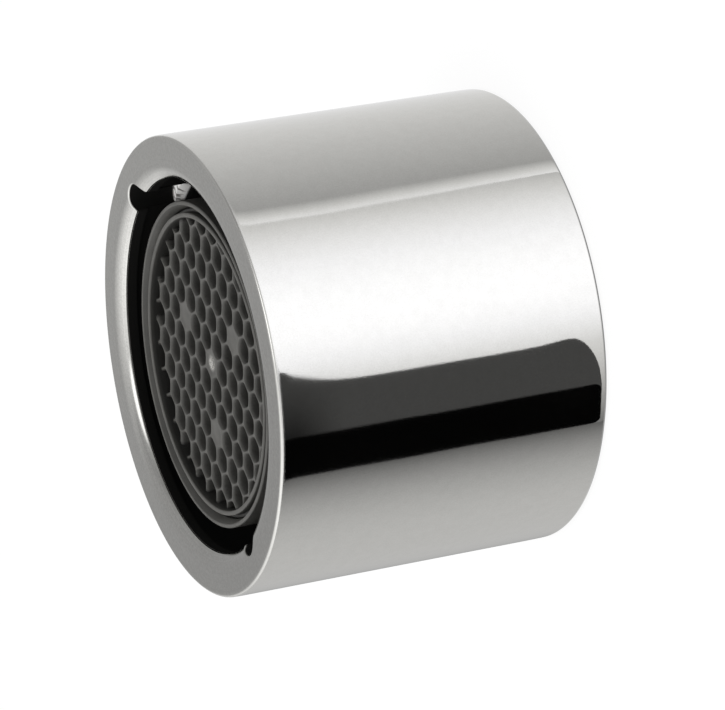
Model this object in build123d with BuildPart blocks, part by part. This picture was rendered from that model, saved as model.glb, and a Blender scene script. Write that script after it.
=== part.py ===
from build123d import *
from math import cos, hypot, pi, radians, sin, sqrt
import os

# Tap aerator: a chromed housing screws onto a spout and holds a sealing washer and a mixing cartridge.
# Its axis is Z. It stands on its inlet end at Z = 0, the outlet faces +Z and the key notches lie along X.

# Inlet thread, M22 x 1, drawn as a plain bore at its minor diameter
thread_major_diameter = 22.0
thread_pitch = 1.0
thread_height_factor = 1.0825  # basic height of both flanks of a metric thread, in pitches
thread_length = 5.2
mouth_relief = 0.15  # lead-in chamfer, beyond the major diameter

# Housing sleeve and its outlet lip
thread_wall = 1.0  # metal left outside the thread's major diameter
inlet_edge_radius = 0.3
outlet_edge_radius = 0.2
groove_relief = 0.1  # washer groove, beyond the major diameter
shoulder_width = 0.5  # ledge that the cartridge's flange sits on
lip_thickness = 1.0
lip_overhang = 0.19  # lip's hole, inside the cavity's wall
lip_roll_width = 1.22  # rounded inner part of the outlet face
lip_roll_drop = 0.38
notch_width = 2.0
notch_reach = 0.92  # key notches, beyond the lip's hole
notch_undercut = 1.6  # key notches, past the lip's underside

# Sealing washer
washer_thickness = 1.9
washer_width = 2.7
washer_clearance = 0.2
washer_slack = 0.1
washer_edge_radius = 0.15

# Cartridge casing
flange_clearance = 0.1
flange_rim = 1.1  # wall around the jet plate
flange_floor = 0.6  # wall under the jet plate
air_gap = 0.95  # air path between the casing and the housing
body_wall = 0.8
chamber_height = 2.6  # from the flange to the mixing grids
window_count = 8
window_post = 2.1  # wall left between two windows
window_margin = 0.5  # wall left at both ends of a window
ledge_thickness = 0.8
ledge_width = 0.65
nose_gap = 1.26  # air inlet between the nose and the lip's hole
nose_wall = 0.4
nose_recess = 0.75  # nose tip, behind the outlet face
nose_tip_width = 0.2
nose_edge_radius = 0.1

# Jet plate
plate_thickness = 0.8
plate_clearance = 0.05
jet_diameter = 0.9
jet_ring_count = 3
jet_margin = 0.45  # plate left between the last ring of jets and the collar
jets_in_first_ring = 6
collar_width = 0.4

# Strainer
strainer_clearance = 0.3
strainer_rim_width = 0.8
strainer_rim_height = 0.85
strainer_wall = 0.5
strainer_setback = 0.1  # top of the dome, behind the washer's face
strainer_fit = 0.1  # rim around the jet plate's collar
mesh_opening = 0.7
mesh_pitch = 1.1
mesh_margin = 0.3

# Mixing grids
grid_height = 1.3
grid_clearance = 0.05
grid_rim_width = 0.7
bar_width = 0.5
bar_height = 0.7
bar_pitch = 1.35

# Honeycomb
comb_depth = 2.15
comb_recess = 0.5  # comb face, behind the nose tip
comb_clearance = 0.05
comb_step_width = 0.18
comb_step_height = 0.5
comb_ring_width = 0.25
comb_ring_proud = 0.4
cell_pitch = 1.41
cell_wall = 0.2
cell_turn = 40.6  # degrees from X to a row of cells
least_cell_share = 0.12  # rim cells cut smaller than this share of a whole one stay closed
plugged_cells = ((0, 0), (3, -1), (-2, 3), (-1, -2))  # steps along the two rows of cells

# Radii, from the outside in
thread_major_radius = thread_major_diameter / 2
bore_radius = thread_major_radius - thread_height_factor * thread_pitch / 2
housing_radius = thread_major_radius + thread_wall
mouth_radius = thread_major_radius + mouth_relief
groove_radius = thread_major_radius + groove_relief
cavity_radius = bore_radius - shoulder_width
hole_radius = cavity_radius - lip_overhang
washer_radius = groove_radius - washer_clearance
washer_hole_radius = washer_radius - washer_width
flange_radius = bore_radius - flange_clearance
recess_radius = flange_radius - flange_rim
body_radius = cavity_radius - air_gap
chamber_radius = body_radius - body_wall
nose_radius = hole_radius - nose_gap
nose_bore_radius = nose_radius - nose_wall
ledge_radius = nose_bore_radius - ledge_width
strainer_radius = washer_hole_radius - strainer_clearance
strainer_inner_radius = strainer_radius - strainer_rim_width
collar_radius = strainer_inner_radius - strainer_fit
collar_inner_radius = collar_radius - collar_width
grid_radius = chamber_radius - grid_clearance
grid_inner_radius = grid_radius - grid_rim_width
comb_radius = nose_bore_radius - comb_clearance
comb_ring_radius = comb_radius - comb_step_width
cell_field_radius = comb_ring_radius - comb_ring_width

# Heights, from the inlet to the outlet: the stack of pieces makes the housing 18 mm tall
mouth_height = mouth_radius - bore_radius
washer_z = thread_length + washer_slack
flange_z = washer_z + washer_thickness
recess_z = flange_z + plate_thickness
shoulder_z = recess_z + flange_floor
upper_grid_z = shoulder_z + chamber_height
lower_grid_z = upper_grid_z + grid_height
ledge_z = lower_grid_z + grid_height
comb_back_z = ledge_z + ledge_thickness
comb_face_z = comb_back_z + comb_depth
nose_z = comb_face_z + comb_recess
housing_height = nose_z + nose_recess
lip_z = housing_height - lip_thickness

os.makedirs("parts", exist_ok=True)

# Housing: one turned section with thread bore, washer groove, shoulder, cavity and rolled lip
with BuildPart() as housing:
    with BuildSketch(Plane.XZ) as housing_section:
        with BuildLine():
            Polyline(
                (mouth_radius, 0),
                (housing_radius, 0),
                (housing_radius, housing_height),
                (hole_radius + lip_roll_width, housing_height),
            )
            TangentArc(
                (hole_radius + lip_roll_width, housing_height),
                (hole_radius, housing_height - lip_roll_drop),
                tangent=(-1, 0),
            )
            Polyline(
                (hole_radius, housing_height - lip_roll_drop),
                (hole_radius, lip_z),
                (cavity_radius, lip_z),
                (cavity_radius, shoulder_z),
                (bore_radius, shoulder_z),
                (bore_radius, flange_z),
                (groove_radius, flange_z),
                (groove_radius, thread_length),
                (bore_radius, thread_length),
                (bore_radius, mouth_height),
                (mouth_radius, 0),
            )
        make_face()
        outer_corners = housing_section.vertices().group_by(Axis.X)[-1].sort_by(Axis.Y)
        fillet(outer_corners[0], inlet_edge_radius)
        fillet(outer_corners[-1], outlet_edge_radius)
    revolve(axis=Axis.Z)
    # One slot across the lip's hole leaves the two round-ended key notches
    with BuildSketch(Plane.XY.offset(housing_height)):
        SlotOverall(2 * (hole_radius + notch_reach), notch_width)
    extrude(amount=-(lip_thickness + notch_undercut), mode=Mode.SUBTRACT)
housing.part.label = "housing"
export_step(housing.part, "parts/housing.step")

# Sealing washer: a flat ring with slightly rounded edges, caught in the groove behind the thread
with BuildPart() as sealing_washer:
    with BuildSketch(Plane.XY.offset(washer_z)):
        Circle(washer_radius)
        Circle(washer_hole_radius, mode=Mode.SUBTRACT)
    extrude(amount=washer_thickness)
    fillet(sealing_washer.edges().filter_by(GeomType.CIRCLE), washer_edge_radius)
sealing_washer.part.label = "sealing_washer"
export_step(sealing_washer.part, "parts/sealing_washer.step")

# Strainer: a shallow dome of constant wall on a rim, sieved by a square mesh
dome_top_z = washer_z + strainer_setback
dome_edge_z = flange_z - strainer_rim_height
dome_rise = dome_edge_z - dome_top_z
dome_radius = (strainer_radius**2 + dome_rise**2) / (2 * dome_rise)
dome_inner_drop = sqrt((dome_radius - strainer_wall) ** 2 - strainer_inner_radius**2)
dome_inner_edge_z = dome_top_z + dome_radius - dome_inner_drop
mesh_field_radius = strainer_inner_radius - mesh_margin
mesh_reach = int(mesh_field_radius / mesh_pitch)
mesh_steps = range(-mesh_reach, mesh_reach + 1)
mesh_centres = [
    (column * mesh_pitch, row * mesh_pitch)
    for column in mesh_steps
    for row in mesh_steps
    if hypot(abs(column) * mesh_pitch + mesh_opening / 2, abs(row) * mesh_pitch + mesh_opening / 2)
    < mesh_field_radius
]
with BuildPart() as strainer:
    with BuildSketch(Plane.XZ):
        with BuildLine():
            TangentArc((0, dome_top_z), (strainer_radius, dome_edge_z), tangent=(1, 0))
            Polyline(
                (strainer_radius, dome_edge_z),
                (strainer_radius, flange_z),
                (strainer_inner_radius, flange_z),
                (strainer_inner_radius, dome_inner_edge_z),
            )
            TangentArc(
                (0, dome_top_z + strainer_wall),
                (strainer_inner_radius, dome_inner_edge_z),
                tangent=(1, 0),
            )
            Line((0, dome_top_z + strainer_wall), (0, dome_top_z))
        make_face()
    revolve(axis=Axis.Z)
    with BuildSketch(Plane.XY.offset(dome_top_z)):
        with Locations(*mesh_centres):
            Rectangle(mesh_opening, mesh_opening)
    extrude(amount=flange_z - dome_top_z, mode=Mode.SUBTRACT)
strainer.part.label = "strainer"
export_step(strainer.part, "parts/strainer.step")

# Jet plate: a disc with rings of fine holes, and a collar that the strainer's rim fits round
jet_ring_limit = collar_inner_radius - jet_margin - jet_diameter / 2
jet_ring_pitch = jet_ring_limit / jet_ring_count
with BuildPart() as jet_plate:
    with BuildSketch(Plane.XY.offset(flange_z)):
        Circle(recess_radius - plate_clearance)
    extrude(amount=plate_thickness)
    with BuildSketch(Plane.XY.offset(flange_z)):
        Circle(collar_radius)
        Circle(collar_inner_radius, mode=Mode.SUBTRACT)
    extrude(amount=-(flange_z - dome_inner_edge_z - strainer_fit))
    with BuildSketch(Plane.XY.offset(flange_z)):
        for ring in range(1, jet_ring_count + 1):
            with PolarLocations(ring * jet_ring_pitch, ring * jets_in_first_ring):
                Circle(jet_diameter / 2)
    extrude(amount=plate_thickness, mode=Mode.SUBTRACT)
jet_plate.part.label = "jet_plate"
export_step(jet_plate.part, "parts/jet_plate.step")

# Insert casing: flange with a recess for the jet plate, air windows round the chamber, and a nose
window_height = chamber_height - 2 * window_margin
window_ring_radius = (body_radius + chamber_radius) / 2
window_width = 2 * pi * window_ring_radius / window_count - window_post
with BuildPart() as insert_casing:
    with BuildSketch(Plane.XZ):
        with BuildLine():
            Polyline(
                (recess_radius, flange_z),
                (flange_radius, flange_z),
                (flange_radius, shoulder_z),
                (body_radius, shoulder_z),
                (body_radius, ledge_z),
                (nose_radius, comb_back_z),
                (nose_radius, nose_z),
                (nose_radius - nose_tip_width, nose_z),
                (nose_bore_radius, comb_face_z),
                (nose_bore_radius, comb_back_z),
                (ledge_radius, comb_back_z),
                (ledge_radius, ledge_z),
                (chamber_radius, ledge_z),
                (chamber_radius, recess_z),
                (recess_radius, recess_z),
                close=True,
            )
        make_face()
    revolve(axis=Axis.Z)
    nose_tip = insert_casing.faces().sort_by(Axis.Z)[-1]
    fillet(nose_tip.outer_wire().edges(), min(nose_edge_radius, nose_tip_width / 2))
    with BuildSketch(Plane.XY.offset(shoulder_z + window_margin)):
        with PolarLocations(window_ring_radius, window_count):
            Rectangle(3 * body_wall, window_width)
    extrude(amount=window_height, mode=Mode.SUBTRACT)
insert_casing.part.label = "insert_casing"
export_step(insert_casing.part, "parts/insert_casing.step")

# Mixing grids: two alike, stacked in the casing with their bars crossed
bar_count = int(2 * grid_inner_radius / bar_pitch)
for grid_name, grid_z, bar_turn in (
    ("upper_mixing_grid", upper_grid_z, 0),
    ("lower_mixing_grid", lower_grid_z, 90),
):
    with BuildPart() as mixing_grid:
        with BuildSketch(Plane.XY.offset(grid_z)):
            Circle(grid_radius)
            Circle(grid_inner_radius, mode=Mode.SUBTRACT)
        extrude(amount=grid_height)
        with BuildSketch(Plane.XY.offset(grid_z)):
            with Locations(Location((0, 0, 0), (0, 0, bar_turn))):
                with GridLocations(bar_pitch, 0, bar_count, 1):
                    Rectangle(bar_width, 2 * grid_radius)
            Circle((grid_radius + grid_inner_radius) / 2, mode=Mode.INTERSECT)
        extrude(amount=bar_height)
    mixing_grid.part.label = grid_name
    export_step(mixing_grid.part, f"parts/{grid_name}.step")

# Honeycomb: a plate of hexagonal cells, trimmed to a circle, inside a proud ring with a stepped outer edge
row_reach = int(2 * cell_field_radius / cell_pitch)
row_steps = range(-row_reach, row_reach + 1)
row_direction = (cos(radians(cell_turn)), sin(radians(cell_turn)))
next_row_direction = (cos(radians(cell_turn + 60)), sin(radians(cell_turn + 60)))
cell_centres = [
    tuple(cell_pitch * (a * u + b * v) for u, v in zip(row_direction, next_row_direction))
    for a in row_steps
    for b in row_steps
    if (a, b) not in plugged_cells
]
cell_inradius = (cell_pitch - cell_wall) / 2
least_cell_area = least_cell_share * 2 * sqrt(3) * cell_inradius**2
with BuildSketch() as cells:
    with Locations(*(centre for centre in cell_centres if hypot(*centre) < cell_field_radius + cell_pitch)):
        RegularPolygon(cell_inradius, 6, major_radius=False, rotation=cell_turn + 30)
    Circle(cell_field_radius, mode=Mode.INTERSECT)
with BuildPart() as honeycomb:
    with BuildSketch(Plane.XY.offset(comb_back_z)):
        Circle(comb_radius)
    extrude(amount=comb_depth + comb_ring_proud - comb_step_height)
    with BuildSketch(Plane.XY.offset(comb_back_z)):
        Circle(comb_ring_radius)
    extrude(amount=comb_depth + comb_ring_proud)
    with BuildSketch(Plane.XY.offset(comb_face_z)):
        Circle(cell_field_radius)
    extrude(amount=comb_ring_proud, mode=Mode.SUBTRACT)
    with BuildSketch(Plane.XY.offset(comb_back_z)):
        add(cells.sketch.faces().filter_by(lambda cell: cell.area > least_cell_area))
    extrude(amount=comb_depth, mode=Mode.SUBTRACT)
honeycomb.part.label = "honeycomb"
export_step(honeycomb.part, "parts/honeycomb.step")
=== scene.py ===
from math import atan2, cos, pi, radians, sin, sqrt

import bmesh
import bpy
import numpy as np
from mathutils import Matrix, Vector


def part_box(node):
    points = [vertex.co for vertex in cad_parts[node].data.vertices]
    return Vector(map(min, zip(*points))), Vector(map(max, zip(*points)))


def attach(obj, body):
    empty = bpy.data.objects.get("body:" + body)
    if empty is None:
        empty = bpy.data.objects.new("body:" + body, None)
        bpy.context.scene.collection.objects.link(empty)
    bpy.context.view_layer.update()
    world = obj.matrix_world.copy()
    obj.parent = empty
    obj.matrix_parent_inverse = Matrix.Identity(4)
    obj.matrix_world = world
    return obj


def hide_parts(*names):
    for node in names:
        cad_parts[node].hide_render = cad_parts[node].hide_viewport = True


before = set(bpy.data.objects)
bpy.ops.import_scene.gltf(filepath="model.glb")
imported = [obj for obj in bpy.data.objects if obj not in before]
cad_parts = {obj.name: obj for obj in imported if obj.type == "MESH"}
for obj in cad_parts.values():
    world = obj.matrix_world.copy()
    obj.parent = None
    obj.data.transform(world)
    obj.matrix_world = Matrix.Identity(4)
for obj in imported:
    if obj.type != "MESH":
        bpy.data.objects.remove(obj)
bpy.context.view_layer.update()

# Housing: a brass sleeve turned from bar, with its outlet lip rolled in and two key notches milled
# through the lip. The spout's thread is cut in the inlet end, and the sleeve is polished and chromed.
mm = 0.001
same_point = 0.001 * mm  # points nearer than this are one
sleeve_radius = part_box("housing")[1].x
sleeve_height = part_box("housing")[1].z
inlet_edge = 0.3 * mm
outlet_edge = 0.14 * mm
buffing_depth = 0.022 * mm  # the polishing wheel rounds the sleeve off towards both ends
inlet_buffing = 2.2 * mm
outlet_buffing = 0.9 * mm
hole_radius = 9.769 * mm
roll_start = 10.989 * mm
roll_drop = 0.38 * mm
roll_power = 3.6  # the roll steepens towards the hole
lip_edge = 0.09 * mm
lip_underside = 17.0 * mm
notch_radius = 1.0 * mm
notch_reach = 0.92 * mm
notch_corner = 0.16 * mm
notch_floor = 15.4 * mm
notch_bevel = 0.4 * mm
cavity_radius = 9.959 * mm
shoulder_z = 8.6 * mm
seat_z = 7.2 * mm
groove_radius = 11.1 * mm
thread_length = 5.2 * mm
thread_pitch = 1.0 * mm
thread_minor = 10.459 * mm
thread_major = 11.0 * mm
mouth_radius = 11.15 * mm


def skin(name, grids, sharp_angle=40):
    """One mesh object from grids of points, each given with a flag for whether its rows close.
    Neighbours are joined by quads, columns always close, points that coincide are merged, and a wall
    joins two rims that are left open."""
    corners = []
    quads = []
    first = 0
    for points, rows_close in grids:
        points = points.reshape(-1, *points.shape[-3:])
        index = first + np.arange(points.size // 3).reshape(points.shape[:-1])
        here = index if rows_close else index[:, :-1]
        above = np.roll(index, -1, axis=1) if rows_close else index[:, 1:]
        beside = np.roll(here, -1, axis=2)
        opposite = np.roll(above, -1, axis=2)
        quads.append(np.stack([here, beside, opposite, above], axis=-1).reshape(-1, 4))
        corners.append(points.reshape(-1, 3))
        first += points.size // 3
    mesh = bpy.data.meshes.new(name)
    mesh.from_pydata(np.concatenate(corners), [], np.concatenate(quads))
    merged = bmesh.new()
    merged.from_mesh(mesh)
    bmesh.ops.remove_doubles(merged, verts=merged.verts, dist=same_point)
    open_edges = [edge for edge in merged.edges if edge.is_boundary]
    if open_edges:
        bmesh.ops.bridge_loops(merged, edges=open_edges)
    merged.to_mesh(mesh)
    merged.free()
    mesh.shade_smooth()
    mesh.set_sharp_from_angle(angle=radians(sharp_angle))
    piece = bpy.data.objects.new(name, mesh)
    bpy.context.scene.collection.objects.link(piece)
    return piece


def arc(centre, radius, start, end, steps):
    """Points on a circle about centre from one angle to another, in degrees, without the last one."""
    angle = np.radians(np.linspace(start, end, steps, endpoint=False))
    return np.asarray(centre) + radius * np.stack([np.cos(angle), np.sin(angle)], axis=-1), angle


def lip_outline():
    """The lip's hole seen from the outlet, and at each point the direction into the opening.
    It is a circle about the axis with a round notch on +X and -X, and an arc on each notch's corners."""
    notch_x = hole_radius + notch_reach - notch_radius
    far = hole_radius + notch_corner
    corner_x = (far**2 + notch_x**2 - (notch_radius + notch_corner) ** 2) / (2 * notch_x)
    corner_y = sqrt(far**2 - corner_x**2)
    hole_end = np.degrees(atan2(corner_y, corner_x))
    notch_end = np.degrees(atan2(corner_y, corner_x - notch_x))
    hole_before = arc((0, 0), hole_radius, -90, -hole_end, 56)
    corner_before = arc((corner_x, -corner_y), notch_corner, 180 - hole_end, 180 - notch_end, 8)
    notch = arc((notch_x, 0), notch_radius, -notch_end, notch_end, 34)
    corner_after = arc((corner_x, corner_y), notch_corner, notch_end - 180, hole_end - 180, 8)
    hole_after = arc((0, 0), hole_radius, hole_end, 90, 56)
    pieces = (hole_before, corner_before, notch, corner_after, hole_after)
    senses = (-1, 1, -1, 1, -1)
    half = np.concatenate([points for points, angle in pieces])
    inward = np.concatenate([
        sense * np.stack([np.cos(angle), np.sin(angle)], axis=-1)
        for sense, (points, angle) in zip(senses, pieces)
    ])
    return np.concatenate([half, -half]), np.concatenate([inward, -inward])


def housing_grid():
    """Rings of points that follow the sleeve's section once round: inlet face, outside, outlet face,
    rolled lip, hole and notches, cavity, washer groove and thread, whose ridge climbs a pitch a turn."""
    outline, inward = lip_outline()
    turn = np.arctan2(outline[:, 1], outline[:, 0])
    round_about = np.stack([np.cos(turn), np.sin(turn)], axis=-1)

    def rings(radius, height):
        """Points at a radius and a height in the direction of each point of the lip's outline."""
        radius, height, _ = np.broadcast_arrays(radius, height, turn)
        return np.concatenate([radius[..., None] * round_about, height[..., None]], axis=-1)

    # Outside, from the mouth over both rounded ends to where the lip begins to roll in
    climb = np.radians(np.linspace(0, 90, 13))
    inlet_face = np.linspace(mouth_radius, sleeve_radius - inlet_edge, 4)[:-1]
    along = (1 - np.cos(np.linspace(0, pi, 44)[1:-1])) / 2
    side = inlet_edge + (sleeve_height - inlet_edge - outlet_edge) * along
    outlet_face = np.linspace(sleeve_radius - outlet_edge, roll_start, 8)[1:]
    radius = np.concatenate([
        inlet_face,
        sleeve_radius - inlet_edge + inlet_edge * np.sin(climb),
        np.full_like(side, sleeve_radius),
        sleeve_radius - outlet_edge + outlet_edge * np.cos(climb),
        outlet_face,
    ])
    height = np.concatenate([
        np.zeros_like(inlet_face),
        inlet_edge - inlet_edge * np.cos(climb),
        side,
        sleeve_height - outlet_edge + outlet_edge * np.sin(climb),
        np.full_like(outlet_face, sleeve_height),
    ])
    inlet_wear = np.clip(1 - height / inlet_buffing, 0, 1) ** 3
    outlet_wear = np.clip(1 - (sleeve_height - height) / outlet_buffing, 0, 1) ** 3
    worn = np.where(radius > mouth_radius, buffing_depth * (inlet_wear + outlet_wear), 0)
    outside = rings((radius - worn)[:, None], height[:, None])
    start = outside[-1, :, :2]

    # Rolled lip: flat where it leaves the outlet face, then ever steeper down to the rounded edge, which
    # runs on from the roll's slope
    roll_width = roll_start - hole_radius

    def way_in(points):
        """How far in from the roll's start a point lies, as a share of the roll's width."""
        return np.maximum(roll_start - np.linalg.norm(points, axis=-1), 0) / roll_width

    def roll_height(points):
        """The outlet face's height, less a drop that grows as a power of the way in."""
        return sleeve_height - roll_drop * way_in(points) ** roll_power

    def roll_slope(points):
        """The roll's fall for each step in, which is that power's derivative."""
        return roll_drop * roll_power / roll_width * way_in(points) ** (roll_power - 1)

    towards_axis = np.maximum(-(inward * round_about).sum(axis=-1), 0)
    lean = np.arctan(roll_slope(outline) * towards_axis)
    end = outline - lip_edge * (1 - np.sin(lean))[:, None] * inward
    share = np.linspace(0, 1, 18)[1:, None, None]
    rolled = start + share * (end - start)
    lip = np.concatenate([rolled, roll_height(rolled)[..., None]], axis=-1)
    bend = lean + np.linspace(0, 1, 6)[1:, None] * (pi / 2 - lean)
    edge_xy = end + lip_edge * (np.sin(bend) - np.sin(lean))[..., None] * inward
    edge_z = roll_height(end) - lip_edge * (np.cos(lean) - np.cos(bend))
    edge = np.concatenate([edge_xy, edge_z[..., None]], axis=-1)

    # Hole and notches down to the lip's underside or the notch floor, then out or in to the cavity
    reach = np.linalg.norm(outline, axis=-1)
    foot = np.where(reach > cavity_radius, notch_floor, lip_underside)
    drop = np.linspace(0, 1, 6)[1:, None]
    hole = rings(reach, edge_z[-1] + drop * (foot - edge_z[-1]))
    inwards = np.linspace(0, 1, 4)[1:, None]
    bevel = np.where(reach > cavity_radius, notch_bevel, 0) * np.clip(3 * inwards - 2, 0, 1)
    under = rings(reach + inwards * (cavity_radius - reach), foot - bevel)
    foot = foot - bevel[-1]
    sink = np.linspace(0, 1, 14)[1:, None]
    cavity = rings(cavity_radius, foot + sink * (shoulder_z - foot))

    # Shoulder, seat and washer groove, with a point in the middle of each flat
    corners = np.array([
        (cavity_radius, shoulder_z), (thread_minor, shoulder_z), (thread_minor, seat_z),
        (groove_radius, seat_z), (groove_radius, thread_length), (thread_minor, thread_length),
    ])
    middles = (corners[:-1] + corners[1:]) / 2
    section = np.stack([middles, corners[1:]], axis=1).reshape(-1, 2)
    seat = rings(section[:, :1], section[:, 1:])

    # Thread: flanks at 30 degrees between a crest a quarter and a root an eighth of the pitch wide
    level = np.linspace(thread_length, 0, 90)[1:, None]
    phase = level / thread_pitch - turn / (2 * pi)
    from_root = np.abs(phase - np.floor(phase) - 1 / 2)
    cut = np.clip((3 / 8 - from_root) / (3 / 8 - 1 / 16), 0, 1)
    thread_radius = thread_minor + (thread_major - thread_minor) * cut
    thread = rings(np.maximum(thread_radius, mouth_radius - level), level)
    return np.concatenate([outside, lip, edge, hole, under, cavity, seat, thread])


class Wire:
    """One output of a shader tree. Arithmetic on it adds Math nodes, and node() adds any other node."""

    def __init__(self, tree, socket=None):
        self.tree = tree
        self.socket = socket

    def plug(self, node, inputs):
        """Sets a node's inputs, each from a wire or from a constant."""
        for key, value in dict(inputs).items():
            if isinstance(value, Wire):
                self.tree.links.new(value.socket, node.inputs[key])
            else:
                node.inputs[key].default_value = value

    def node(self, kind, settings=(), inputs=(), output=0):
        """A new node of any kind, given its settings and inputs, as the wire from one of its outputs."""
        made = self.tree.nodes.new("ShaderNode" + kind)
        for key, value in dict(settings).items():
            setattr(made, key, value)
        self.plug(made, inputs)
        return Wire(self.tree, made.outputs[output] if len(made.outputs) else None)

    def maths(self, operation, *values):
        """The result of a Math node on wires and numbers."""
        return self.node("Math", {"operation": operation}, enumerate(values))

    def __add__(self, other):
        return self.maths("ADD", self, other)

    def __sub__(self, other):
        return self.maths("SUBTRACT", self, other)

    def __rsub__(self, other):
        return self.maths("SUBTRACT", other, self)

    def __mul__(self, other):
        return self.maths("MULTIPLY", self, other)

    __radd__ = __add__
    __rmul__ = __mul__

    def spread(self, low, high, to_low=0.0, to_high=1.0):
        """This value carried from one range to another, held at both ends."""
        return self.node("MapRange", {}, {0: self, 1: low, 2: high, 3: to_low, 4: to_high})

    def between(self, low, high):
        """A colour between two colours, by this value."""
        return self.node("Mix", {"data_type": "RGBA"}, {0: self, 6: low, 7: high}, 2)

    def noise(self, size, detail=2.0, roughness=0.5):
        """Cloudy values from 0 to 1 at this place, with blotches of about the given size in metres."""
        inputs = {"Vector": self, "Scale": 1 / size, "Detail": detail, "Roughness": roughness}
        return self.node("TexNoise", {}, inputs)

    def stretched(self, x, y, z):
        """This place with each of its axes scaled."""
        return self.node("VectorMath", {"operation": "MULTIPLY"}, {0: self, 1: (x, y, z)})

    def length(self):
        """How far this place lies from the origin."""
        return self.node("VectorMath", {"operation": "LENGTH"}, {0: self}, "Value")

    def axis(self, name):
        """One coordinate of this place."""
        return self.node("SeparateXYZ", {}, {0: self}, name)

    def bump(self, depth):
        """A normal that follows this value as relief of the given depth in metres."""
        return self.node("Bump", {}, {"Strength": 1.0, "Distance": depth, "Height": self})


def finish(name):
    """A new material, its shader and the place on the object that its pattern follows."""
    material = bpy.data.materials.new(name)
    material.use_nodes = True
    tree = material.node_tree
    return material, tree.nodes["Principled BSDF"], Wire(tree).node("TexCoord", output="Object")


chrome, shader, place = finish("polished_chrome")
height = place.axis("Z")
axis_distance = place.stretched(1, 1, 0).length()
turning = place.stretched(0.02, 0.02, 1).noise(0.05 * mm, 3.0)
smear = place.stretched(1, 1, 0.35).noise(3.5 * mm, 3.0)
ripple = place.noise(4.5 * mm, 1.0)
haze = place.noise(0.08 * mm, 2.0)

# Inside, the sleeve is unpolished, with painted shade beyond the shoulder, and bright bare metal where the
# notches' foot is cut, painted near white as a glint
rolled_in = axis_distance.spread(hole_radius, roll_start, 1, 0)
lip_height = sleeve_height - roll_drop * rolled_in.maths("POWER", rolled_in, roll_power)
in_bore = axis_distance.spread(mouth_radius + 0.03 * mm, mouth_radius + 0.09 * mm, 1, 0)
inside = in_bore * (lip_height - height).spread(0.06 * mm, 0.1 * mm)
cavity = inside * height.spread(shoulder_z - 0.2 * mm, shoulder_z)
unpolished = (0.34, 0.33, 0.31, 1)
# Painted shade: beyond the shoulder the inside is coloured near black and is not metallic
painted_cavity_shade = (0.018, 0.0178, 0.017, 1)
inner_tone_and_shade = cavity.between(unpolished, painted_cavity_shade)
from_notch = place.axis("Y").maths("ABSOLUTE", place.axis("Y"))
in_notch = from_notch.spread(notch_radius - 0.05 * mm, notch_radius + 0.05 * mm, 1, 0)
bevel_foot = notch_floor - notch_bevel
above_bevel_foot = height.spread(bevel_foot - 0.15 * mm, bevel_foot - 0.03 * mm)
below_notch_floor = height.spread(notch_floor + 0.02 * mm, notch_floor + 0.1 * mm, 1, 0)
milled = cavity * in_notch * above_bevel_foot * below_notch_floor
# Painted glint: the bare metal at the notches' foot is streaked up to near white and is not metallic
cut_marks = place.stretched(0.3, 1, 0.3).noise(0.22 * mm, 2.0)
cut_metal_and_painted_glint = cut_marks.spread(0.36, 0.48).between((0.25, 0.245, 0.235, 1), (0.97, 0.96, 0.94, 1))

# Outside, the chrome is clear. The outlet face is dulled by wear and by a painted shade that grows towards
# -X, and the inlet's edge is painted dark as a reflection of shade at the sleeve's foot
at_outlet = height.spread(sleeve_height - 0.5 * mm, sleeve_height - 0.4 * mm)
outlet_face = at_outlet * axis_distance.spread(sleeve_radius - 0.15 * mm, sleeve_radius - 0.07 * mm, 1, 0)
# Painted shade across the outlet face, darkest towards -X
painted_shade_across_face = place.axis("X").spread(-11 * mm, 11 * mm, 0.72, 0)
face_rings = place.node("CombineXYZ", {}, {0: axis_distance}).noise(0.07 * mm, 2.0)
face_specks = place.noise(0.13 * mm, 3.0, 0.6)
face_wear = (0.4 * face_rings + 0.6 * face_specks).spread(0.4, 0.68, 0.0, 0.5)
wear_and_painted_shade = outlet_face * (painted_shade_across_face + face_wear)
at_inlet = height.spread(0.14 * mm, 0.23 * mm, 1, 0)
inlet_rim = at_inlet * axis_distance.spread(sleeve_radius - 0.28 * mm, sleeve_radius - 0.22 * mm)
mottle = (0.6 * haze + 0.4 * place.noise(0.5 * mm, 2.0)).spread(0.35, 0.65)
clear = mottle.between((0.775, 0.768, 0.739, 1), (0.825, 0.818, 0.789, 1))
# Tone of both the worn dulling and the painted shade on the outlet face
worn_and_shaded_tone = (0.56, 0.555, 0.535, 1)
# Painted shade on the inlet's rounded edge, standing in for a dark reflection at the sleeve's foot
painted_foot_shade = (0.17, 0.17, 0.168, 1)
plated = inlet_rim.between(wear_and_painted_shade.between(clear, worn_and_shaded_tone), painted_foot_shade)
below_face = height.spread(sleeve_height - 0.26 * mm, sleeve_height - 0.18 * mm)
outlet_rim = below_face * axis_distance.spread(sleeve_radius - 0.25 * mm, sleeve_radius - 0.17 * mm)
roll = at_outlet * axis_distance.spread(10.1 * mm, 10.5 * mm, 1, 0)
polish = 0.05 + 0.16 * outlet_rim + 0.07 * roll + 0.02 * turning + 0.04 * smear.spread(0.5, 0.75)
place.plug(shader, {
    "Metallic": 1.0 - cavity,
    "Specular IOR Level": 0.0,
    "Base Color": milled.between(inside.between(plated, inner_tone_and_shade), cut_metal_and_painted_glint),
    "Roughness": polish + 0.22 * inside + 0.25 * milled,
    "Normal": (0.010 * ripple + 0.0006 * haze + 0.00003 * turning).bump(1.0 * mm),
})
housing = skin("chromed_housing", [(housing_grid(), True)])
housing.data.materials.append(chrome)
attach(housing, "root")
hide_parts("housing")

# Sealing washer: a flat ring die-cut from black rubber sheet. It lies in the groove behind the thread,
# and the spout's rim presses on it.
washer_low, washer_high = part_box("sealing_washer")
washer_hole = 8.2 * mm
washer_edge = 0.15 * mm


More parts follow.
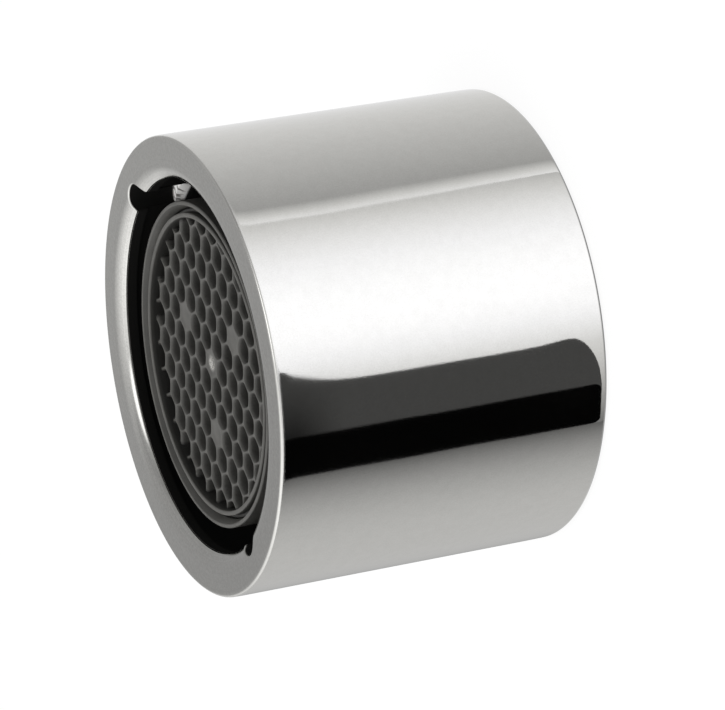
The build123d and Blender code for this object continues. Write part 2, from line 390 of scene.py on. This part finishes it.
def rounded(corners, radii, steps=6):
    """A closed section with each corner replaced by an arc of its own radius.
    The arc's centre lies on the corner's bisector, and a point on the straight beside each end of the arc
    keeps the flats flat."""
    corners = np.asarray(corners, float)
    radii = np.maximum(np.broadcast_to(radii, len(corners)), same_point)[:, None]
    before = corners - np.roll(corners, 1, axis=0)
    before /= np.linalg.norm(before, axis=1)[:, None]
    after = np.roll(before, -1, axis=0)
    turn = np.arccos(np.clip((before * after).sum(axis=1), -1, 1))[:, None]
    tangent = radii * np.tan(turn / 2)
    first = corners - tangent * before
    last = corners + tangent * after
    bisector = after - before
    centre = corners + bisector / np.linalg.norm(bisector, axis=1)[:, None] * radii / np.cos(turn / 2)
    share = np.linspace(0, 1, steps)[:, None, None]
    swing = np.sin((1 - share) * turn) * (first - centre) + np.sin(share * turn) * (last - centre)
    bends = centre + swing / np.sin(turn)
    section = np.concatenate([[first - 0.3 * radii * before], bends, [last + 0.3 * radii * after]])
    return section.transpose(1, 0, 2).reshape(-1, 2)


def turned(section, columns=192):
    """A section of radius and height carried once round the axis."""
    angle = np.linspace(0, 2 * pi, columns, endpoint=False)
    radius, height = section[:, :1], section[:, 1:]
    return np.stack([radius * np.cos(angle), radius * np.sin(angle), height + 0 * angle], axis=-1)


washer_corners = [
    (washer_hole, washer_low.z), (washer_high.x, washer_low.z),
    (washer_high.x, washer_high.z), (washer_hole, washer_high.z),
]
washer = skin("rubber_washer", [(turned(rounded(washer_corners, washer_edge)), True)])

rubber, shader, place = finish("black_rubber")
grain = place.noise(0.12 * mm, 4.0, 0.6)
bloom = place.noise(2.5 * mm, 3.0)
place.plug(shader, {
    "Base Color": bloom.spread(0.35, 0.75).between((0.018, 0.018, 0.019, 1), (0.036, 0.035, 0.034, 1)),
    "Roughness": 0.62 + 0.2 * grain,
    "Normal": grain.bump(0.012 * mm),
})
washer.data.materials.append(rubber)
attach(washer, "root")
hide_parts("sealing_washer")

# Strainer: a shallow sieve moulded in pale acetal, with a square mesh in its dome. Its rim sits round
# the jet plate's collar, inside the washer.
strainer_low, strainer_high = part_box("strainer")
dome_edge_z = 6.35 * mm
dome_wall = 0.5 * mm
rim_inner = 7.1 * mm
rim_start = 7.5 * mm
rim_lap = 0.2 * mm
mesh_pitch = 1.1 * mm
mesh_opening = 0.7 * mm
mesh_field = 6.8 * mm
mesh_edge = 0.07 * mm


def pierced(
    centres, opened, side_turns, cell_half, hole_half, field, edge, draft, top, bottom, closed_rows, per_side
):
    """A plate made of cells, each with a rounded hole, trimmed to a circle that its rim laps slightly.
    From a point inside each cell, rays go to even marks on its sides and to where these cross the circle, so
    that neighbours share their points. A ray ends at the nearest side or the circle, exactly for the cell and
    through a high power mean for the hole, which rounds its corners. Rings of points on the rays go over the
    top, round the hole's edges, which reach down by the draft, and back over the underside. A closed cell
    shrinks to its middle in rows, each given as a share of the cell and a depth."""
    tiny = 1e-9
    corner_power = 10
    sides = np.stack([np.cos(side_turns), np.sin(side_turns)], axis=-1)
    trim = field + 2 * edge

    # Cells that reach into the circle, and the middle of what the circle leaves of each
    distance = np.maximum(np.linalg.norm(centres, axis=1), tiny)
    lean_on = (centres / distance[:, None] @ sides.T).max(axis=1)
    half = np.where(opened, hole_half, cell_half) / lean_on.clip(0.1)
    kept = distance - half < np.where(opened, field, trim) - edge
    centres, opened, distance, half = centres[kept], opened[kept], distance[kept], half[kept]
    middle = (distance - half + np.minimum(distance + half, np.where(opened, field, trim))) / 2
    origin = centres * (middle / distance)[:, None]

    # Rays to the marks on the sides
    half_turn = (side_turns[1] - side_turns[0]) / 2
    along = np.stack([-sides[:, 1], sides[:, 0]], axis=-1)
    even_marks = cell_half * np.tan(np.linspace(-half_turn, half_turn, per_side + 1))
    half_chord = np.sqrt(np.maximum(trim**2 - (centres @ sides.T + cell_half) ** 2, 0))
    crossings = np.stack([-half_chord, half_chord], axis=-1) - (centres @ along.T)[..., None]
    marks = np.concatenate([
        np.broadcast_to(even_marks, (*half_chord.shape, per_side + 1)),
        crossings.clip(even_marks[0], even_marks[-1]),
    ], axis=-1)
    on_sides = cell_half * sides[:, None] + marks[..., None] * along[:, None]
    spokes = (centres - origin)[:, None, None] + on_sides
    turns = np.arctan2(spokes[..., 1], spokes[..., 0]) % (2 * pi)
    turns = np.sort(turns.reshape(len(centres), -1))
    rays = np.stack([np.cos(turns), np.sin(turns)], axis=-1)
    towards = np.maximum(rays @ sides.T, tiny)
    offset = ((origin - centres) @ sides.T)[:, None]
    forward = (rays * origin[:, None]).sum(axis=-1)
    from_axis = (origin**2).sum(axis=-1)[:, None]

    def to_circle(radius):
        """How far each ray goes until it meets a circle about the axis."""
        return np.sqrt(np.maximum(forward**2 - from_axis + radius**2, 0)) - forward

    cell = np.minimum(((cell_half - offset) / towards).min(axis=-1), to_circle(trim))
    nearness = towards / np.maximum(hole_half - offset, edge)
    softened = (nearness**corner_power).sum(axis=-1) ** (-1 / corner_power)
    hole = np.minimum(softened, to_circle(field))

    def place_rows(which, reaches, surface, drops):
        """Rows of points at given reaches along the rays of some cells, on a surface moved up or down."""
        xy = origin[which][:, None, None] + reaches[..., None] * rays[which][:, None]
        return np.concatenate([xy, (surface(xy) + drops)[..., None]], axis=-1)

    bend = np.radians(np.linspace(0, 90, 4))[:, None]
    rounding = hole[opened][:, None] + edge * (1 - np.sin(bend))
    reaches = np.concatenate([cell[opened][:, None], rounding], axis=1)
    drops = np.concatenate([[[0]], draft * (1 - np.cos(bend))])
    top_rows = place_rows(opened, reaches, top, -drops)
    bottom_rows = place_rows(opened, reaches, bottom, drops)
    through = np.concatenate([top_rows, bottom_rows[:, ::-1]], axis=1)
    shares, depths = np.asarray(closed_rows, float).T[..., None]
    closed_reaches = shares * cell[~opened][:, None]
    closed_top = place_rows(~opened, closed_reaches, top, -depths)
    closed_bottom = place_rows(~opened, closed_reaches, bottom, depths)
    return [(through, False), (closed_top, False), (closed_bottom[:, ::-1], False)]


dome_rise = dome_edge_z - strainer_low.z
dome_radius = (strainer_high.x**2 + dome_rise**2) / (2 * dome_rise)
dome_centre = strainer_low.z + dome_radius


def dome_outside(points):
    """The height of the dome's outer face: the lower half of a ball about a point on the axis."""
    return dome_centre - np.sqrt(dome_radius**2 - (points**2).sum(axis=-1))


def dome_inside(points):
    """The height of the dome's inner face: the same ball, smaller by the wall."""
    return dome_centre - np.sqrt((dome_radius - dome_wall) ** 2 - (points**2).sum(axis=-1))


mesh_reach = int(rim_inner / mesh_pitch) + 1
mesh_steps = np.arange(-mesh_reach, mesh_reach + 1) * mesh_pitch
mesh_cells = np.stack(np.meshgrid(mesh_steps, mesh_steps), axis=-1).reshape(-1, 2)
mesh_opened = np.linalg.norm(np.abs(mesh_cells) + mesh_opening / 2, axis=1) < mesh_field
mesh_sides = np.arange(4) * pi / 2
sieve = pierced(
    mesh_cells, mesh_opened, mesh_sides, mesh_pitch / 2, mesh_opening / 2, field=rim_inner - 2 * mesh_edge,
    edge=mesh_edge, draft=mesh_edge, top=dome_inside, bottom=dome_outside,
    closed_rows=[(1, 0), (0.5, 0), (0, 0)], per_side=3,
)
lapped = np.array([rim_inner - rim_lap, 0])
rim_corners = [
    (rim_inner - rim_lap, dome_outside(lapped)), (rim_start, dome_outside(np.array([rim_start, 0]))),
    (strainer_high.x, dome_edge_z), (strainer_high.x, strainer_high.z), (rim_inner, strainer_high.z),
    (rim_inner, dome_inside(np.array([rim_inner, 0]))), (rim_inner - rim_lap, dome_inside(lapped)),
]
rim_edges = np.array([0, 0, 0.2, 0.08, 0.08, 0, 0]) * mm
strainer = skin("inlet_strainer", sieve + [(turned(rounded(rim_corners, rim_edges)), True)])


def moulded(name, dark, light, roughness, grain_size, relief):
    """Moulded acetal: cloudy colour between two tones, a fine eroded grain and a soft sheen."""
    material, shader, place = finish(name)
    cloud = place.noise(1.6 * mm, 4.0, 0.6)
    grain = place.noise(grain_size, 3.0, 0.55)
    place.plug(shader, {
        "Base Color": (0.65 * cloud + 0.35 * grain).spread(0.3, 0.7).between(dark, light),
        "Roughness": roughness - 0.08 + 0.16 * grain,
        "Normal": grain.bump(relief),
    })
    return material


pale_acetal = moulded(
    "pale_acetal", (0.60, 0.60, 0.57, 1), (0.76, 0.76, 0.73, 1), 0.42, 0.09 * mm, 0.006 * mm
)
strainer.data.materials.append(pale_acetal)
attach(strainer, "root")
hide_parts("strainer")

# Jet plate and the two mixing grids: moulded in light grey acetal and stacked in the casing. The plate
# splits the water into jets, and the crossed bars of the grids break them up.
light_acetal = moulded(
    "light_grey_acetal", (0.30, 0.31, 0.31, 1), (0.42, 0.43, 0.43, 1), 0.45, 0.09 * mm, 0.006 * mm
)
for inner_name in ("jet_plate", "upper_mixing_grid", "lower_mixing_grid"):
    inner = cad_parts[inner_name]
    inner.data.materials.clear()
    inner.data.materials.append(light_acetal)

# Insert casing: the cartridge's shell, moulded in dark grey acetal. Its flange rests on the housing's
# shoulder, eight windows let air into the mixing chamber, and its nose ring shows in the outlet.
casing_low, casing_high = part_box("insert_casing")
flange_radius = casing_high.x
recess_radius = 9.259 * mm
recess_z = 8.0 * mm
body_radius = 9.009 * mm
chamber_radius = 8.209 * mm
window_low = 9.1 * mm
window_high = 10.7 * mm
window_count = 8
window_post = 2.1 * mm
post_lap = 0.05 * mm
ledge_z = 13.8 * mm
ledge_radius = 7.459 * mm
comb_back = 14.6 * mm
comb_face = 16.75 * mm
nose_radius = 8.509 * mm
nose_bore = 8.109 * mm
nose_tip = 0.2 * mm
flange_corners = [
    (chamber_radius, recess_z), (recess_radius, recess_z), (recess_radius, casing_low.z),
    (flange_radius, casing_low.z), (flange_radius, shoulder_z), (body_radius, shoulder_z),
    (body_radius, window_low), (chamber_radius, window_low),
]
flange_edges = np.array([0.05, 0.05, 0.08, 0.1, 0.1, 0.1, 0.03, 0.03]) * mm
nose_corners = [
    (chamber_radius, window_high), (body_radius, window_high), (body_radius, ledge_z),
    (nose_radius, comb_back), (nose_radius, casing_high.z), (nose_radius - nose_tip, casing_high.z),
    (nose_bore, comb_face), (nose_bore, comb_back), (ledge_radius, comb_back), (ledge_radius, ledge_z),
    (chamber_radius, ledge_z),
]
nose_edges = np.array([0.03, 0.03, 0.2, 0.2, 0.09, 0.06, 0.05, 0.03, 0.06, 0.06, 0.05]) * mm


def window_posts():
    """Upright blocks between the windows: four corners of a ring sector, carried up from end to end and
    drawn in to their middle at both ends."""
    middle = (np.arange(window_count) + 1 / 2) * 2 * pi / window_count
    half = window_post / (body_radius + chamber_radius)
    swing = np.array([-half, half, half, -half])
    radius = np.array([body_radius, body_radius, chamber_radius, chamber_radius])
    angle = middle[:, None] + swing
    foot = np.stack([radius * np.cos(angle), radius * np.sin(angle)], axis=-1)
    heart = foot.mean(axis=1, keepdims=True)
    share = np.array([0, 1, 1, 0])
    bottom, top = window_low - post_lap, window_high + post_lap
    blocks = np.zeros((window_count, 4, 4, 3))
    blocks[..., :2] = heart[:, None] + share[:, None, None] * (foot - heart)[:, None]
    blocks[..., 2] = np.array([bottom, bottom, top, top])[:, None]
    return blocks


casing = skin("cartridge_casing", [
    (turned(rounded(flange_corners, flange_edges)), True),
    (turned(rounded(nose_corners, nose_edges)), True),
    (window_posts(), False),
])
dark_acetal = moulded(
    "dark_grey_acetal", (0.075, 0.0733, 0.068, 1), (0.121, 0.1185, 0.11, 1), 0.46, 0.08 * mm, 0.006 * mm
)
casing.data.materials.append(dark_acetal)
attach(casing, "root")
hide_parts("insert_casing")

# Honeycomb: the stream straightener, moulded in the same dark acetal and pressed into the casing's nose.
# Four of its cells are closed, and the middle one carries the mark where the mould was filled.
comb_low, comb_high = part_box("honeycomb")
comb_ring = 7.879 * mm
comb_step_z = 16.65 * mm
cell_field = 7.629 * mm
cell_pitch = 1.41 * mm
cell_wall = 0.2 * mm
cell_turn = radians(40.6)
cell_edge = 0.075 * mm
cell_draft = 0.32 * mm
least_cell_share = 0.12
plugged_cells = np.array([(0, 0), (3, -1), (-2, 3), (-1, -2)])
plug_dish = 0.035 * mm
plug_rows = [(1, 0), (0.85, 0), (0.74, 0.03 * mm), (0.4, plug_dish), (0, plug_dish)]
gate_radius = 0.3 * mm
gate_height = 0.07 * mm
gate_sunk = 0.02 * mm


def level(height):
    """A flat surface at one height."""
    return lambda points: np.full(points.shape[:-1], height)


row_reach = int(2 * cell_field / cell_pitch) + 1
row_steps = np.arange(-row_reach, row_reach + 1)
steps = np.stack(np.meshgrid(row_steps, row_steps), axis=-1).reshape(-1, 2)
row_turns = cell_turn + np.array([0, pi / 3])
rows = cell_pitch * np.stack([np.cos(row_turns), np.sin(row_turns)], axis=-1)
cells = steps @ rows
cell_half = cell_pitch / 2
cell_hole = (cell_pitch - cell_wall) / 2
side_turns = cell_turn + np.arange(6) * pi / 3

# A rim cell stays open where enough of it lies inside the circle, judged on even points over its hexagon
sample = np.linspace(-1, 1, 41) * cell_hole / cos(pi / 6)
sample = np.stack(np.meshgrid(sample, sample), axis=-1).reshape(-1, 2)
side_normals = np.stack([np.cos(side_turns), np.sin(side_turns)])
sample = sample[(sample @ side_normals).max(axis=1) < cell_hole]
spread_points = cells[:, None] + sample
cell_share = (np.linalg.norm(spread_points, axis=-1) < cell_field).mean(axis=1)
plugged = (steps[:, None] == plugged_cells).all(axis=-1).any(axis=1)
opened = (cell_share > least_cell_share) & ~plugged
straightener = pierced(
    cells, opened, side_turns, cell_half, cell_hole, field=cell_field, edge=cell_edge, draft=cell_draft,
    top=level(comb_face), bottom=level(comb_low.z), closed_rows=plug_rows, per_side=4,
)
comb_ring_corners = [
    (cell_field, comb_low.z), (comb_high.x, comb_low.z), (comb_high.x, comb_step_z),
    (comb_ring, comb_step_z), (comb_ring, comb_high.z), (cell_field, comb_high.z),
]
comb_ring_edges = np.array([0.03, 0.1, 0.06, 0.04, 0.09, 0.09]) * mm
ring = turned(rounded(comb_ring_corners, comb_ring_edges))
gate_climb = np.radians(np.linspace(0, 90, 6))
gate_base = comb_face - plug_dish
gate_rise = gate_height * np.sin(gate_climb)
gate_dome = np.stack([gate_radius * np.cos(gate_climb), gate_base + gate_rise], axis=-1)
gate_foot = [(0, gate_base - gate_sunk), (gate_radius, gate_base - gate_sunk)]
gate = turned(np.concatenate([gate_foot, gate_dome]), 24)
comb = skin("honeycomb_comb", straightener + [(ring, True), (gate, False)])

comb_acetal, shader, place = finish("comb_acetal")
cloud = place.noise(1.4 * mm, 4.0, 0.6)
grain = place.noise(0.08 * mm, 3.0, 0.55)
gate_place = place.node("VectorMath", {"operation": "SUBTRACT"}, {0: place, 1: (0, 0, comb_face)})
gate_mark = gate_place.length().spread(0.24 * mm, 0.48 * mm, 1, 0) * grain.spread(0.35, 0.6)
dark_tone = (0.08, 0.0782, 0.0725, 1)
light_tone = (0.128, 0.1254, 0.1164, 1)
shade_tone = (0.03, 0.0293, 0.0272, 1)
gate_tone = (0.55, 0.54, 0.51, 1)
tone = (0.65 * cloud + 0.35 * grain).spread(0.3, 0.7).between(dark_tone, light_tone)
ring_foot = place.axis("Z").spread(comb_face + 0.1 * mm, comb_high.z - 0.05 * mm, 1, 0)
ring_shade = place.stretched(1, 1, 0).length().spread(7.5 * mm, 7.6 * mm) * ring_foot
place.plug(shader, {
    "Base Color": gate_mark.between(ring_shade.between(tone, shade_tone), gate_tone),
    "Roughness": 0.38 + 0.16 * grain,
    "Normal": grain.bump(0.006 * mm),
})
comb.data.materials.append(comb_acetal)
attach(comb, "root")
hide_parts("honeycomb")

# Camera: looks down past the outlet, turned on its side so that the aerator appears to lie down. Its
# place and lens follow the aerator's outline in the photograph.
camera_azimuth = radians(-23.25)
camera_elevation = radians(22.373)
camera_roll = radians(99.777)
camera_aim = Vector((-0.8164, 0.3508, 8.3904)) * mm
camera_distance = 222.192 * mm
backward = Vector((
    sin(camera_azimuth) * cos(camera_elevation), -cos(camera_azimuth) * cos(camera_elevation),
    sin(camera_elevation),
))
level_right = Vector((0, 0, 1)).cross(backward).normalized()
level_up = backward.cross(level_right)
camera_up = cos(camera_roll) * level_up + sin(camera_roll) * level_right
camera_right = camera_up.cross(backward)
camera_data = bpy.data.cameras.new("camera")
camera_data.lens = 211.7
camera_data.clip_start = 10 * mm
camera = bpy.data.objects.new("camera", camera_data)
camera.matrix_world = Matrix.Translation(camera_aim + camera_distance * backward) @ Matrix(
    (camera_right, camera_up, backward)
).transposed().to_4x4()
bpy.context.scene.collection.objects.link(camera)
bpy.context.scene.camera = camera

# Floor: a wide sheet of white paper. It glows white for the camera and in reflections, and a little of
# it is lit by the lamp, so that the aerator keeps a soft shadow.
floor_reach = 3.0
floor_depth = 0.01 * mm
floor_glow = 0.88
floor_mesh = bpy.data.meshes.new("floor")
floor_mesh.from_pydata(
    [(-floor_reach, -floor_reach, -floor_depth), (floor_reach, -floor_reach, -floor_depth),
     (floor_reach, floor_reach, -floor_depth), (-floor_reach, floor_reach, -floor_depth)],
    [], [(0, 1, 2, 3)],
)
floor = bpy.data.objects.new("floor", floor_mesh)
bpy.context.scene.collection.objects.link(floor)
paper = bpy.data.materials.new("white_paper")
paper.use_nodes = True
paper.node_tree.nodes.clear()
sheet = Wire(paper.node_tree)
seen = sheet.node("LightPath", output="Is Camera Ray")
mirrored = Wire(sheet.tree, seen.socket.node.outputs["Is Glossy Ray"])
passed = Wire(sheet.tree, seen.socket.node.outputs["Is Transmission Ray"])
shown = seen.maths("MAXIMUM", seen.maths("MAXIMUM", seen, mirrored), passed)
lit_paper = sheet.node("BsdfDiffuse", {}, {"Color": (0.9, 0.9, 0.9, 1)})
white = sheet.node("Emission", {}, {"Color": (1, 1, 1, 1), "Strength": 1.06})
paper_mix = sheet.node("MixShader", {}, {0: floor_glow * shown, 1: lit_paper, 2: white})
sheet.node("OutputMaterial", {}, {"Surface": paper_mix})
floor.data.materials.append(paper)

# Reflector cards: laid on the floor round the sleeve's foot and seen only as reflections in the chrome,
# where they make its grey, white and black bands. Each spans two angles on the sleeve, in degrees.
camera_place = np.array(camera.location)
card_columns = 48
card_material = bpy.data.materials.new("card_glow")
card_material.use_nodes = True
card_material.node_tree.nodes.clear()
card_glow = Wire(card_material.node_tree).node("Attribute", {"attribute_name": "glow"}, output="Fac")
card_tint = card_glow.spread(0.7, 1.1).between((1, 1, 1, 1), (0.99, 0.995, 1.03, 1))
card_light = card_glow.node("Emission", {}, {"Color": card_tint, "Strength": card_glow})
card_glow.node("OutputMaterial", {}, {"Surface": card_light})


def lay_card(name, height, start, end, glow, lift=0.04 * mm):
    """A card on the floor, given by the angles and heights on the sleeve where the camera sees it mirrored.
    The line of sight turns about the sleeve's normal there and falls on as steeply as it came, so the
    card's point lies out from the sleeve's foot by the height divided by that slope."""
    angle = start + np.linspace(0, 1, card_columns) * (end - start) + 0 * height
    turn = np.radians(angle)
    foot = sleeve_radius * np.stack([np.cos(turn), np.sin(turn)], axis=-1)
    sight = camera_place[:2] - foot
    mirrored_turn = 2 * turn - np.arctan2(sight[..., 1], sight[..., 0])
    reach = height * np.linalg.norm(sight, axis=-1) / (camera_place[2] - height)
    outward = np.stack([np.cos(mirrored_turn), np.sin(mirrored_turn)], axis=-1)
    points = np.full(angle.shape + (3,), lift)
    points[..., :2] = foot + reach[..., None] * outward
    index = np.arange(angle.size).reshape(angle.shape)
    quads = np.stack([index[:-1, 1:], index[:-1, :-1], index[1:, :-1], index[1:, 1:]], axis=-1)
    mesh = bpy.data.meshes.new(name)
    mesh.from_pydata(points.reshape(-1, 3), [], quads.reshape(-1, 4))
    brightness = np.broadcast_to(glow(angle), angle.shape).ravel()
    mesh.attributes.new("glow", "FLOAT", "POINT").data.foreach_set("value", brightness)
    mesh.materials.append(card_material)
    card = bpy.data.objects.new(name, mesh)
    card.visible_camera = False
    card.visible_diffuse = False
    card.visible_transmission = False
    card.visible_shadow = False
    bpy.context.scene.collection.objects.link(card)


along = np.concatenate([np.linspace(0, 2, 21), np.linspace(2.4, 24, 55), np.linspace(26, 86, 31)])
along = along[:, None] * mm
line_swing = np.clip(along / (13 * mm), 0, 1)
line_start = -75.8 - 1.4 * line_swing
line_end = -79.8 - 1.6 * line_swing
white_middle = -107.5
white_end = -123.5
black_end = -144.8
lower_middle = -177
lay_card("upper_grey_card", along, -24, line_start, lambda angle: 0.99 - ((angle - 20) / 125) ** 2)
lay_card("bright_line_card", along, line_start, line_end, lambda angle: np.linspace(0.4, 0.93, card_columns))
lay_card(
    "white_card", along, line_end, white_end,
    lambda angle: 1.27 - ((angle - white_middle) / np.where(angle > white_middle, 33, 23)) ** 2,
)
lay_card(
    "lower_grey_card", along, black_end, -204,
    lambda angle: 0.565 - (np.abs(angle - lower_middle) / np.where(angle > lower_middle, 42.4, 37)) ** 3,
)
lay_card("foot_card", along[:26], white_end, black_end, lambda angle: np.linspace(0.8, 0.2, card_columns))

# The dark cards lie on the others, with their near corners rounded and the grey one wider at its far end
beyond = along[(along >= 0.3 * mm) & (along <= 32 * mm)][:, None]
corner = 1 - np.sqrt(1 - np.clip((1.85 * mm - beyond) / (1.55 * mm), 0, 1) ** 2)
bulge = np.exp(-(((beyond - 2.2 * mm) / (1.1 * mm)) ** 2))
flare = 4.4 / (1 + np.exp((16.4 * mm - beyond) / (0.95 * mm)))
fade = np.clip((beyond - 14.5 * mm) / (2.5 * mm), 0, 1)
nip = 1 - np.sqrt(1 - np.clip((0.75 * mm - beyond) / (0.46 * mm), 0, 1) ** 2)
lay_card(
    "dark_grey_card", beyond, -122.7 - 12 * corner + 0.6 * bulge + flare, -137,
    lambda angle: 0.061 - 0.047 * fade * np.clip((-118 - angle) / 16, 0, 1), lift=0.06 * mm,
)
lay_card(
    "black_card", beyond, -134.4 - 1.5 * nip, black_end + 1.3 * nip, lambda angle: 0.0012, lift=0.08 * mm
)

# Studio light: a grey room, darker behind the camera, with a large soft box and a low glow in it. A front
# light and a small one for the lip show only in the metal, and the lamp overhead isn't mirrored at all.
room_near = 0.24
room_far = 0.39
box_bright = 0.99
far_azimuth = radians(67)
box_azimuth = radians(144.5)
box_elevation = radians(33)
front_azimuth = radians(-132)
front_elevation = radians(20)
front_gain = 0.44
lip_azimuth = radians(-88)
lip_elevation = radians(64)
lip_gain = 1.1
glow_azimuth = radians(84)
glow_elevation = radians(5)
glow_gain = 0.16
lamp_place = Vector((-1.5, -3.5, 150)) * mm
lamp_radius = 24 * mm
lamp_brightness = 16.4
world = bpy.data.worlds.new("studio")
bpy.context.scene.world = world
world.use_nodes = True
world.node_tree.nodes.clear()
sky = Wire(world.node_tree).node("TexCoord", output="Generated")


def facing(azimuth, elevation):
    """How nearly a direction in the sky points to the given one: the cosine of the angle between them."""
    aim = (cos(azimuth) * cos(elevation), sin(azimuth) * cos(elevation), sin(elevation))
    return sky.node("VectorMath", {"operation": "DOT_PRODUCT"}, {0: sky, 1: aim}, "Value")


in_metal = sky.node("LightPath", output="Is Glossy Ray")
room = facing(far_azimuth, 0).spread(-0.4, 0.35, room_near, room_far)
soft_box = facing(box_azimuth, box_elevation).spread(0.39, 0.955, 0, box_bright - room_far)
front_light = facing(front_azimuth, front_elevation).spread(0.08, 0.81, 0, front_gain) * in_metal
lip_light = facing(lip_azimuth, lip_elevation).spread(0.945, 0.975, 0, lip_gain) * in_metal
low_glow = facing(glow_azimuth, glow_elevation).spread(0.955, 0.995, 0, glow_gain)
sky_strength = room + soft_box + front_light + lip_light + low_glow
sky_light = sky.node("Background", {}, {"Color": (1, 1, 1, 1), "Strength": sky_strength})
sky.node("OutputWorld", {}, {"Surface": sky_light})
lamp_data = bpy.data.lights.new("overhead_lamp", "AREA")
lamp_data.shape = "DISK"
lamp_data.size = 2 * lamp_radius
lamp_data.energy = lamp_brightness * pi * pi * lamp_radius**2
lamp = bpy.data.objects.new("overhead_lamp", lamp_data)
lamp.location = lamp_place
lamp.visible_glossy = False
bpy.context.scene.collection.objects.link(lamp)
bpy.context.scene.view_settings.view_transform = "Standard"
